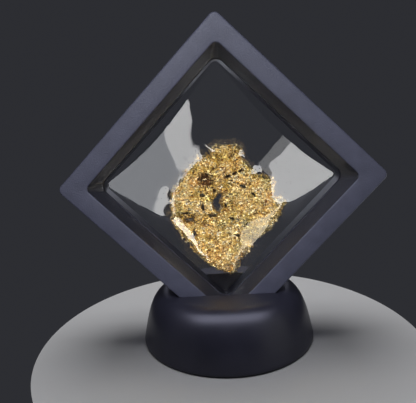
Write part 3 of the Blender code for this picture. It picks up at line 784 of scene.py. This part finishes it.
def crystals(grid, base, top, seed, towards):
    """The relief of one side: many small laths and plates over a sunken bed."""
    random = np.random.default_rng(seed)
    field = base - BED_DEPTH + BED_ROUGHNESS * random.standard_normal(base.shape)
    # Painted shade: the bed, which shows in the crevices between the plates, gets only the darker
    # tints.
    tints = random.uniform(0.0, 0.35, base.shape)
    laid = np.full(base.shape, -np.inf)
    counts = [round(span / PLATE_SPACING) for span in GRID_SPAN]
    spots = np.stack(np.meshgrid(*(np.arange(n) for n in counts), indexing="ij"), -1)
    spots = spots.reshape(-1, 2)
    spots = GRID_CORNER + (spots + random.uniform(0, 1, spots.shape)) * PLATE_SPACING
    sunk = hollows(spots) if towards > 0 else np.zeros(len(spots))
    bends = noise_field(spots, SWIRL_LENGTH, seed + 3.0)
    where = ((spots - GRID_CORNER) / CELL).round().astype(int)
    where = np.minimum(where, np.array(base.shape) - 1)
    rim = grid.shaped(grid.rim)
    hole = grid.shaped(grid.hole)
    for spot, (i, j), deep, bend in zip(spots, where, sunk, bends):
        sizes = random.uniform(0, 1, 8)
        if rim[i, j] < 0.12 or hole[i, j] < 0.1 or deep > 0.4:
            continue
        halves = (
            PLATE_LENGTHS[0] + (PLATE_LENGTHS[1] - PLATE_LENGTHS[0]) * sizes[0] ** 1.5,
            PLATE_WIDTHS[0] + (PLATE_WIDTHS[1] - PLATE_WIDTHS[0]) * sizes[1],
        )
        turn = bend * SWIRL + random.normal(0, TURN_SPREAD)
        level = base[i, j] + PLATE_LEVELS[0] + PLATE_LEVELS[1] * sizes[2]
        tilt = PLATE_TILT * (2 * sizes[3:5] - 1)
        crest = PLATE_CREST * sizes[5] if sizes[6] < ROOF_SHARE else 0.0
        plate = (spot, halves, turn, level, tilt, crest, sizes[7], sizes[6] > BLOCK_FROM)
        lay_plate(grid, laid, tints, plate)
    if towards > 0:
        centre, halves, turn, level = PIT_FLAKE
        plate = (centre, halves, radians(turn), level, (0.1, -0.3), 0.2, 0.8, False)
        lay_plate(grid, laid, tints, plate)
        sunk_here = grid.shaped(hollows(grid.points.reshape(-1, 2)))
        field = field - sunk_here
        laid = np.where(sunk_here > 1.0, -np.inf, laid)
    height = np.minimum(np.maximum(field, laid), top + FILM_CLEARANCE - PLATE_HEADROOM)
    return height, tints, laid > -np.inf


def kept_cells(solid):
    """Cells whose four corners are solid: one connected sheet with no corner-only joins."""
    kept = solid[:-1, :-1] & solid[1:, :-1] & solid[:-1, 1:] & solid[1:, 1:]
    for _ in range(4):
        around = four_around(np.pad(kept, 1).astype(int))
        kept = (kept & (around > 1)) | (around > 2)
    start = np.argwhere(kept)[kept.sum() // 2]
    reached = np.zeros_like(kept)
    reached[tuple(start)] = True
    while True:
        wider = (reached | (four_around(np.pad(reached, 1).astype(int)) > 0)) & kept
        if (wider == reached).all():
            break
        reached = wider
    kept = reached
    for _ in range(6):
        one = kept[:-1, :-1] & kept[1:, 1:] & ~kept[:-1, 1:] & ~kept[1:, :-1]
        other = kept[:-1, 1:] & kept[1:, :-1] & ~kept[:-1, :-1] & ~kept[1:, 1:]
        if not (one.any() or other.any()):
            break
        kept = kept.copy()
        kept[:-1, 1:] |= one
        kept[:-1, :-1] |= other
    return kept


def build_nugget(material):
    """Builds the piece. Returns its grid, what the films rest on, and the two sides."""
    grid = NuggetGrid()
    flat = grid.points.reshape(-1, 2)
    top = envelope(grid)
    sides = []
    for towards, seed in ((1, SEED), (-1, SEED + 1)):
        base = base_height(grid, top, seed, towards)
        height, tints, covered = crystals(grid, base, grid.shaped(top), seed, towards)
        sides.append((base, height, tints, covered))
    ragged = grid.rim + 0.4 * noise_field(flat, 1.1, 8.0) + 0.2 * noise_field(flat, 0.45, 9.0)
    pierced = grid.hole + 0.3 * noise_field(flat, 0.7, 5.0)
    body = grid.shaped((ragged > 0.35) & (pierced > 0.15))
    solid = body | (sides[0][3] & grid.shaped(grid.hole > -0.15))
    solid &= ~grid.shaped((hollows(flat) > 2.55) & (grid.rim > 0))
    kept = kept_cells(solid)

    used = np.zeros(solid.shape, bool)
    for i in (0, 1):
        for j in (0, 1):
            used[i : i + kept.shape[0], j : j + kept.shape[1]] |= kept
    count = used.sum()
    number = np.full(solid.shape, -1)
    number[used] = np.arange(count)
    random = np.random.default_rng(SEED + 5)
    shake = random.uniform(-0.2, 0.2, (*solid.shape, 2)) * CELL
    places = grid.points + shake

    vertices, cavity, tint = [], [], []
    for (base, height, tints, _), towards in zip(sides, (1, -1)):
        height = np.maximum(height, LEAST_HALF)
        # How sunk each place is under its neighbours, which the gold's colour darkens as painted
        # shade; the pit and the hollows are painted darker still.
        mean = blurred(np.where(used, height, base * 0.6), MEAN_STEPS)
        sunk = 0.75 * (base - height) / BED_DEPTH + 0.9 * (mean - height) / 0.6
        if towards > 0:
            sunk = sunk + grid.shaped(1.3 * pit_share(flat, 0.85) + 0.5 * hollows(flat))
            # Painted highlight: the lower right rim is made less sunk here, and paler in its tint
            # below.
            sunk = sunk - 0.7 * painted_highlight_side(grid)
        vertices.append(np.column_stack((places[used], towards * height[used])))
        cavity.append(np.clip(sunk[used], 0, 1))
        tint.append(tints[used] + (0.6 * painted_highlight_side(grid)[used] if towards > 0 else 0))
    corners = number[:-1, :-1], number[1:, :-1], number[1:, 1:], number[:-1, 1:]
    sheet = np.column_stack([corner[kept] for corner in corners])
    faces = [sheet, sheet[:, ::-1] + count]

    # Side walls, from each edge of the sheet that has a kept cell on one side only.
    padded = np.pad(kept, 1)
    i, j = np.nonzero(kept)
    edges = []
    neighbours = (
        (padded[i + 1, j], (i, j), (i + 1, j)),
        (padded[i + 2, j + 1], (i + 1, j), (i + 1, j + 1)),
        (padded[i + 1, j + 2], (i + 1, j + 1), (i, j + 1)),
        (padded[i, j + 1], (i, j + 1), (i, j)),
    )
    for filled, start, end in neighbours:
        edges.append(np.column_stack((number[start][~filled], number[end][~filled])))
    edges = np.concatenate(edges)
    rim_ids = np.unique(edges)
    slot = np.full(count, -1)
    slot[rim_ids] = np.arange(len(rim_ids))
    front, back = vertices[0][rim_ids], vertices[1][rim_ids]
    outward = np.zeros((count, 2))
    for a, b in edges:
        along = vertices[0][b, :2] - vertices[0][a, :2]
        outward[a] += (along[1], -along[0])
        outward[b] += (along[1], -along[0])
    outward = outward[rim_ids]
    outward /= np.maximum(np.linalg.norm(outward, axis=1), 1e-9)[:, None]
    rows = [rim_ids]
    for row in range(1, RIM_ROWS):
        share = row / RIM_ROWS
        middle = front * (1 - share) + back * share
        bulge = RIM_BULGE * (sin(share * pi) + random.uniform(-1, 1, len(middle)))
        ripple = np.array([noise.noise(Vector(p) * 2.2) for p in middle])
        middle[:, :2] += outward * (bulge + RIM_RIPPLE * ripple)[:, None]
        vertices.append(middle)
        rows.append(2 * count + (row - 1) * len(rim_ids) + np.arange(len(rim_ids)))
        # Painted shade on the rim's walls, darker where they ripple inwards.
        cavity.append(np.clip(0.35 - 2.5 * ripple, 0, 1))
        tint.append(random.uniform(0, 0.8, len(middle)))
    rows.append(rim_ids + count)
    for upper, lower in zip(rows, rows[1:]):
        a, b = slot[edges[:, 0]], slot[edges[:, 1]]
        faces.append(np.column_stack((upper[b], upper[a], lower[a], lower[b])))

    vertices = np.concatenate(vertices)
    faces = np.concatenate(faces)
    mesh = bpy.data.meshes.new("gold_nugget_look")
    mesh.from_pydata((vertices * MM).tolist(), [], faces.tolist())
    for name, values in (("cavity", cavity), ("tint", tint)):
        attribute = mesh.attributes.new(name, "FLOAT", "POINT")
        attribute.data.foreach_set("value", np.concatenate(values).astype(np.float32))
    mesh.transform(NUGGET_PLACE)
    nugget = add_object("gold_nugget_look", mesh)
    finish_piece(nugget, "gold_nugget_look", material, 28.0)
    levels = [np.where(used, np.maximum(side[1], LEAST_HALF), 0.0) for side in sides]
    print("nugget:", len(faces) * 2, "triangles")
    cover = np.where(grid.rim > FILM_CONTACT, top + FILM_CLEARANCE, 0.0)
    return nugget, grid, grid.shaped(cover), levels


# --- Films ---


def stretched(obstacle, held, height, sweeps, push):
    """Heights of a film pulled tight over an obstacle, and held at zero at its edge."""
    height = np.where(held, 0.0, np.maximum(obstacle, height))
    i, j = np.indices(height.shape)
    inner = np.zeros(height.shape, bool)
    inner[1:-1, 1:-1] = True
    colours = [inner & ~held & ((i + j) % 2 == parity) for parity in (0, 1)]
    for _ in range(sweeps):
        for colour in colours:
            around = np.pad(four_around(height) / 4, 1)
            moved = np.maximum(obstacle, height + push * (around - height))
            height = np.where(colour, moved, height)
    return height


def sample(grid, field, x, y):
    """Values of a field on the nugget's grid at other places, in millimetres."""
    u = np.clip((x - GRID_CORNER[0]) / CELL, 0, field.shape[0] - 1.001)
    v = np.clip((y - GRID_CORNER[1]) / CELL, 0, field.shape[1] - 1.001)
    i, j = u.astype(int), v.astype(int)
    u, v = u - i, v - j
    near = field[i, j] * (1 - v) + field[i, j + 1] * v
    far = field[i + 1, j] * (1 - v) + field[i + 1, j + 1] * v
    inside_grid = (x > GRID_CORNER[0]) & (x < GRID_CORNER[0] + GRID_SPAN[0])
    inside_grid &= (y > GRID_CORNER[1]) & (y < GRID_CORNER[1] + GRID_SPAN[1])
    return np.where(inside_grid, near * (1 - u) + far * u, 0.0)


def build_film(name, case_matrix, grid, cover, level, towards, material):
    """One film, on a grid along the case's sides; lengths in millimetres until the end."""
    half = FILM_WINDOW_HALF / MM - 0.05
    lines = np.linspace(-half, half, FILM_CELLS + 1)
    x, y = np.meshgrid(lines, lines, indexing="ij")
    # The nugget's axes are turned by 45 degrees from the case's.
    nugget_x, nugget_y = (x - y) / sqrt(2), (x + y) / sqrt(2)
    obstacle = np.clip(sample(grid, cover, nugget_x, nugget_y) - PARTING / MM, 0, None)
    corner = half - FILM_CORNER_R / MM
    beyond = np.hypot(np.maximum(np.abs(x) - corner, 0), np.maximum(np.abs(y) - corner, 0))
    held = beyond > FILM_CORNER_R / MM - 0.1
    held[0, :] = held[-1, :] = held[:, 0] = held[:, -1] = True
    height = np.zeros_like(x)
    for sweeps, push in FILM_SWEEPS:
        height = stretched(obstacle, held, height, sweeps, push)
    places = np.column_stack((x.ravel(), y.ravel()))
    wave = noise_field(places, FILM_WAVE[1], 3.0 + towards).reshape(x.shape)
    height = height + FILM_WAVE[0] * wave * np.clip(height, 0, 1)

    edge = FILM_HALF / MM
    outer = np.concatenate(([-edge], lines, [edge]))
    height = PARTING / MM + np.pad(height, 1)
    count = len(outer)
    gx, gy = np.meshgrid(outer, outer, indexing="ij")
    inner_face = np.column_stack((gx.ravel(), gy.ravel(), towards * height.ravel()))
    lift = towards * FILM_SHEET / MM
    slope_x, slope_y = np.gradient(towards * height, outer, outer)
    normal = np.stack((-slope_x, -slope_y, np.ones_like(slope_x)), axis=-1)
    normal /= np.linalg.norm(normal, axis=-1)[..., None]
    outer_face = inner_face + lift * normal.reshape(-1, 3)
    ids = np.arange(count * count).reshape(count, count)
    top = np.column_stack(
        (ids[:-1, :-1].ravel(), ids[1:, :-1].ravel(), ids[1:, 1:].ravel(), ids[:-1, 1:].ravel())
    )
    total = count * count
    border = np.concatenate((ids[:-1, 0], ids[-1, :-1], ids[:0:-1, -1], ids[0, :0:-1]))
    following = np.roll(border, -1)
    walls = np.column_stack((border, following, following + total, border + total))
    faces = np.concatenate((top[:, ::-1], top + total, walls))
    if towards < 0:
        faces = faces[:, ::-1]
    mesh = bpy.data.meshes.new(name)
    points = np.concatenate((inner_face, outer_face)) * MM
    mesh.from_pydata(points.tolist(), [], faces.tolist())
    mesh.transform(case_matrix)
    film = add_object(name, mesh)
    clear = sample(grid, level, nugget_x, nugget_y)
    gap = (height[1:-1, 1:-1] - clear)[clear > 0.3].min()
    print(name, "has a least gap over the gold of", round(float(gap), 3), "mm")
    film.visible_shadow = False
    return finish_piece(film, name, material, 40.0)


# --- Floor, light, camera ---


def build_floor():
    bm = bmesh.new()
    bmesh.ops.create_circle(bm, cap_ends=True, segments=128, radius=FLOOR_R)
    floor = add_object("floor", bm_to_mesh(bm, "floor"))
    floor.data.materials.append(floor_material())
    return floor


def add_panel(name, size, radiance, colour, place):
    """A soft rectangular light. It isn't seen by the camera, also not through a film."""
    light = bpy.data.lights.new(name, "AREA")
    light.shape = "RECTANGLE"
    light.size, light.size_y = size
    light.energy = radiance * pi * size[0] * size[1]
    light.color = colour
    lamp = add_object(name, light, place)
    lamp.visible_camera = False
    lamp.visible_transmission = False
    return lamp


def add_card(name, plane, corners, radiance, colour):
    """A soft light in the shape of a convex polygon, in millimetres in its plane."""
    corners = np.array(corners) * MM
    low, high = corners.min(axis=0) - CARD_EDGE, corners.max(axis=0) + CARD_EDGE
    place = plane @ Matrix.Translation((*((low + high) / 2), 0))
    lamp = add_panel(name, (high - low).tolist(), radiance, colour, place)
    lamp.data.use_nodes = True
    tree = lamp.data.node_tree
    spot = add_node(tree, "NewGeometry").outputs["Position"]
    share = None
    for start, end in zip(corners, np.roll(corners, -1, axis=0)):
        along = (end - start) / np.linalg.norm(end - start)
        inward = plane.to_3x3() @ Vector((-along[1], along[0], 0))
        level = inward.dot(plane @ Vector((*start, 0)))
        reach = add_node(tree, "VectorMath", {0: spot, 1: inward})
        reach.operation = "DOT_PRODUCT"
        low_level, high_level = level - CARD_EDGE / 2, level + CARD_EDGE / 2
        step = range_node(tree, reach.outputs["Value"], low_level, high_level)
        share = step if share is None else combine_values(tree, "MULTIPLY", share, step)
    tree.links.new(share, tree.nodes["Emission"].inputs["Strength"])
    return lamp


def aimed(place, target):
    turn = (Vector(target) - Vector(place)).to_track_quat("-Z", "Y")
    return Matrix.Translation(place) @ turn.to_matrix().to_4x4()


def leaning(azimuth, foot, head):
    """A plane beside the camera that leans back: its foot and its head are (distance, height).

    Its origin is on its foot, X runs to the right as the object sees it, and Y up the plane.
    """
    away = Vector((sin(azimuth), -cos(azimuth), 0.0))
    across = Vector((cos(azimuth), sin(azimuth), 0.0))
    up = (away * (head[0] - foot[0]) + Vector((0, 0, head[1] - foot[1]))).normalized()
    turn = Matrix((across, up, across.cross(up))).transposed().to_4x4()
    return Matrix.Translation(away * foot[0] + Vector((0, 0, foot[1]))) @ turn


def link_lights(name, lamps, pieces, state):
    """Lets the lamps light these pieces alone, or all but them."""
    group = bpy.data.collections.new(name)
    for piece in pieces:
        group.objects.link(piece)
    for entry in group.collection_objects:
        entry.light_linking.link_state = state
    for lamp in lamps:
        lamp.light_linking.receiver_collection = group


def add_lamps(name, rows, pieces, state="INCLUDE"):
    """Soft panels aimed at the case: rows of (name, size, radiance, colour, place)."""
    lamps = [
        add_panel(lamp, size, radiance, colour, aimed(place, (0.0, 0.0, 0.05)))
        for lamp, size, radiance, colour, place in rows
    ]
    link_lights(name, lamps, pieces, state)


def build_light(films, nugget, frames, stand, floor):
    world = bpy.data.worlds.new("studio")
    bpy.context.scene.world = world
    world.use_nodes = True
    background = world.node_tree.nodes["Background"]
    background.inputs["Color"].default_value = (0.026, 0.027, 0.032, 1.0)
    background.inputs["Strength"].default_value = 1.0

    # Cards that only the films reflect, with their corners anticlockwise.
    left = leaning(radians(-35), (0.05, 0.0), (0.10, 0.08))
    right = leaning(radians(50), (0.045, 0.0), (0.10, 0.075))
    near_left = leaning(radians(-35), (0.032, 0.0), (0.032, 0.08))
    white, cool = (1.0, 1.0, 1.0), (0.92, 0.95, 1.0)
    warm, pale = (1.0, 0.86, 0.62), (1.0, 0.94, 0.84)
    cards = (
        ("left_1", left, ((-20.6, 24), (12, 24), (12, 45), (-18.4, 45)), 6.0, cool),
        ("left_2", left, ((-18.4, 45), (12, 45), (6, 69), (-12.5, 69)), 6.0, cool),
        ("left_3", left, ((-30, 69), (2, 69), (3, 87), (-30, 87)), 6.0, cool),
        ("left_4", left, ((-30, 87), (3, 87), (9.5, 109), (20, 162), (-30, 162)), 6.0, cool),
        ("strip_1", left, ((2.5, 80), (4.5, 81), (14.5, 108), (9.5, 109), (3, 87)), 12.5, white),
        ("strip_2", left, ((14.5, 108), (48.2, 147.5), (17.1, 147.5), (9.5, 109)), 12.5, white),
        ("hook_1", left, ((-23, 24), (-20.6, 24), (-18.4, 45), (-22.2, 45)), 13.0, white),
        ("hook_2", left, ((-22.2, 45), (-18.4, 45), (-12.5, 69), (-17, 69)), 13.0, white),
        ("foot", near_left, ((-16.5, 28), (-10, 0.6), (14, 0.6), (4, 29)), 18.0, pale),
        ("right_1", right, ((-23.2, 31), (30, 31), (30, 135), (-23.2, 135)), 12.5, white),
        ("right_2", right, ((-44, 60), (-23.2, 60), (-23.2, 98.5), (-44, 98.5)), 12.5, white),
        ("right_low", right, ((-36, 1), (28, 1), (28, 31), (-30, 31)), 9.5, warm),
        ("band", right, ((-40.5, 98.5), (-23.2, 98.5), (-23.2, 125), (-29, 125)), 3.6, white),
    )
    lamps = []
    for number, (name, plane, corners, radiance, colour) in enumerate(cards):
        # Cards that lie in one another would hide each other.
        plane = plane @ Matrix.Translation((0, 0, CARD_GAP * number))
        lamps.append(add_card("card_" + name, plane, corners, radiance, colour))
    ahead = aimed((0.0, -0.5, 0.15), (0.0, 0.0, 0.05))
    lamps.append(add_panel("card_haze", (0.9, 0.7), 0.13, cool, ahead))
    link_lights("film_only", lamps, films, "INCLUDE")

    # Soft light for each kind of piece.
    key, violet = (0.86, 0.89, 1.0), (0.76, 0.77, 1.0)
    wide, small = (0.3, 0.3), (0.2, 0.2)
    add_lamps(
        "all_but_films", [("above", wide, 0.3, key, (0.0, 0.05, 0.45))], films, "EXCLUDE"
    )
    rows = (
        ("case_high", (0.16, 0.12), 30.0, key, (-0.03, -0.33, 0.25)),
        ("case_left", wide, 0.7, white, (-0.36, -0.28, 0.10)),
        ("case_right", wide, 0.7, white, (0.36, -0.28, 0.04)),
        ("case_back", small, 2.6, key, (0.34, 0.10, -0.05)),
        ("case_rear", (0.3, 0.2), 1.6, key, (-0.10, 0.40, 0.22)),
    )
    add_lamps("case_only", rows, frames)
    rows = (
        ("stand_top", (0.40, 0.14), 6.5, violet, (0.0, -0.10, 0.20)),
        ("stand_left", wide, 0.12, white, (-0.36, -0.20, 0.10)),
        ("stand_right", wide, 0.6, white, (0.36, -0.20, 0.10)),
        ("stand_rear", (0.3, 0.14), 2.0, violet, (0.0, 0.30, 0.22)),
    )
    add_lamps("stand_only", rows, [stand])
    add_lamps("floor_only", [("floor_top", (0.4, 0.4), 4.0, white, (0.0, 0.1, 0.6))], [floor])
    rows = (
        ("front_left", small, 22.5, white, (-0.24, -0.36, 0.26)),
        ("front_right", small, 22.5, white, (0.24, -0.36, 0.26)),
        ("nugget_rear", (0.3, 0.2), 7.0, white, (-0.12, 0.40, 0.16)),
    )
    add_lamps("nugget_only", rows, [nugget])
    bpy.context.scene.view_settings.view_transform = "Standard"


def build_camera():
    yaw, pitch, roll = (radians(a) for a in (CAMERA_YAW, CAMERA_PITCH, CAMERA_ROLL))
    ahead = Vector((sin(yaw) * cos(pitch), cos(yaw) * cos(pitch), -sin(pitch)))
    level = Vector((cos(yaw), -sin(yaw), 0.0))
    upright = level.cross(ahead)
    right = cos(roll) * level + sin(roll) * upright
    up = cos(roll) * upright - sin(roll) * level
    turn = Matrix((right, up, -ahead)).transposed().to_4x4()
    data = bpy.data.cameras.new("camera")
    data.lens = CAMERA_LENS
    data.sensor_width = 36.0
    data.shift_y = CAMERA_SHIFT_Y
    data.clip_start = 0.005
    camera = add_object("camera", data, Matrix.Translation(CAMERA_PLACE) @ turn)
    bpy.context.scene.camera = camera


# --- Assembly ---

noise.seed_set(SEED)
CASE_PLACE = (
    Matrix.Translation((0, 0, CASE_CENTRE_Z)) @ Euler((pi / 2, -pi / 4, 0)).to_matrix().to_4x4()
)
NUGGET_PLACE = CASE_PLACE @ Matrix.Rotation(-pi / 4, 4, "Z")

case_black = case_material()
clear_film = film_material()
build_camera()
floor = build_floor()
stand = build_stand(stand_material())
frames = [
    build_half_frame("front_frame_look", CASE_PLACE, 1, case_black),
    build_half_frame("back_frame_look", CASE_PLACE, -1, case_black),
]
nugget, grid, cover, (front, back) = build_nugget(gold_material())
films = [
    build_film("front_film_look", CASE_PLACE, grid, cover, front, 1, clear_film),
    build_film("back_film_look", CASE_PLACE, grid, cover, back, -1, clear_film),
]
build_light(films, nugget, frames, stand, floor)
